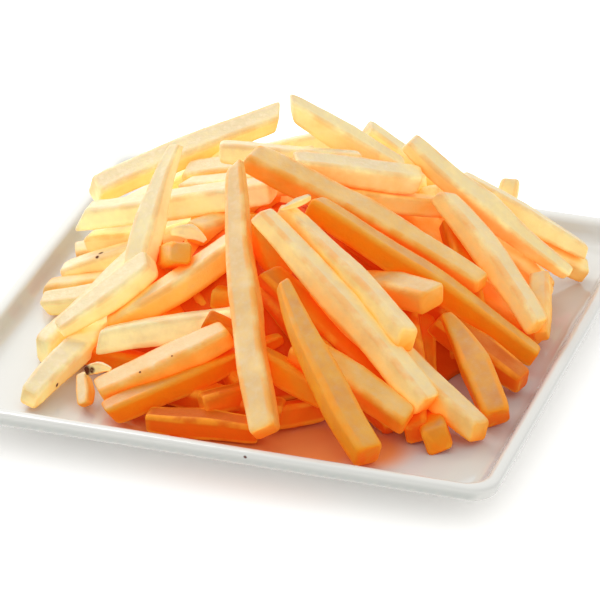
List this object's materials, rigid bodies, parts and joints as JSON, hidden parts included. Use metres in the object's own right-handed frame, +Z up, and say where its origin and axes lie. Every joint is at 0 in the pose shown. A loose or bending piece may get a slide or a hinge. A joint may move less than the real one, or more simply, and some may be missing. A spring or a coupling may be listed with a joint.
{
  "type": "french fries portion",
  "caption": "Heap of straight-cut golden french fries on a square white glazed plate with a low raised rim and a square foot.",
  "frame": {"origin": "middle of the plate's foot, on the surface that the plate stands on", "axes": "+X to the right along the plate's near edge, +Y from the near edge to the far edge, +Z up"},
  "size_m": [0.2138, 0.2138, 0.0862],
  "materials": {
    "plate_glaze": "glossy white glaze",
    "fried_potato": "fried potato, pale golden with orange edges, slightly oily"
  },
  "bodies": {
    "root": {"plate": "plate_glaze", "fries": "fried_potato"}
  },
  "joints": []
}
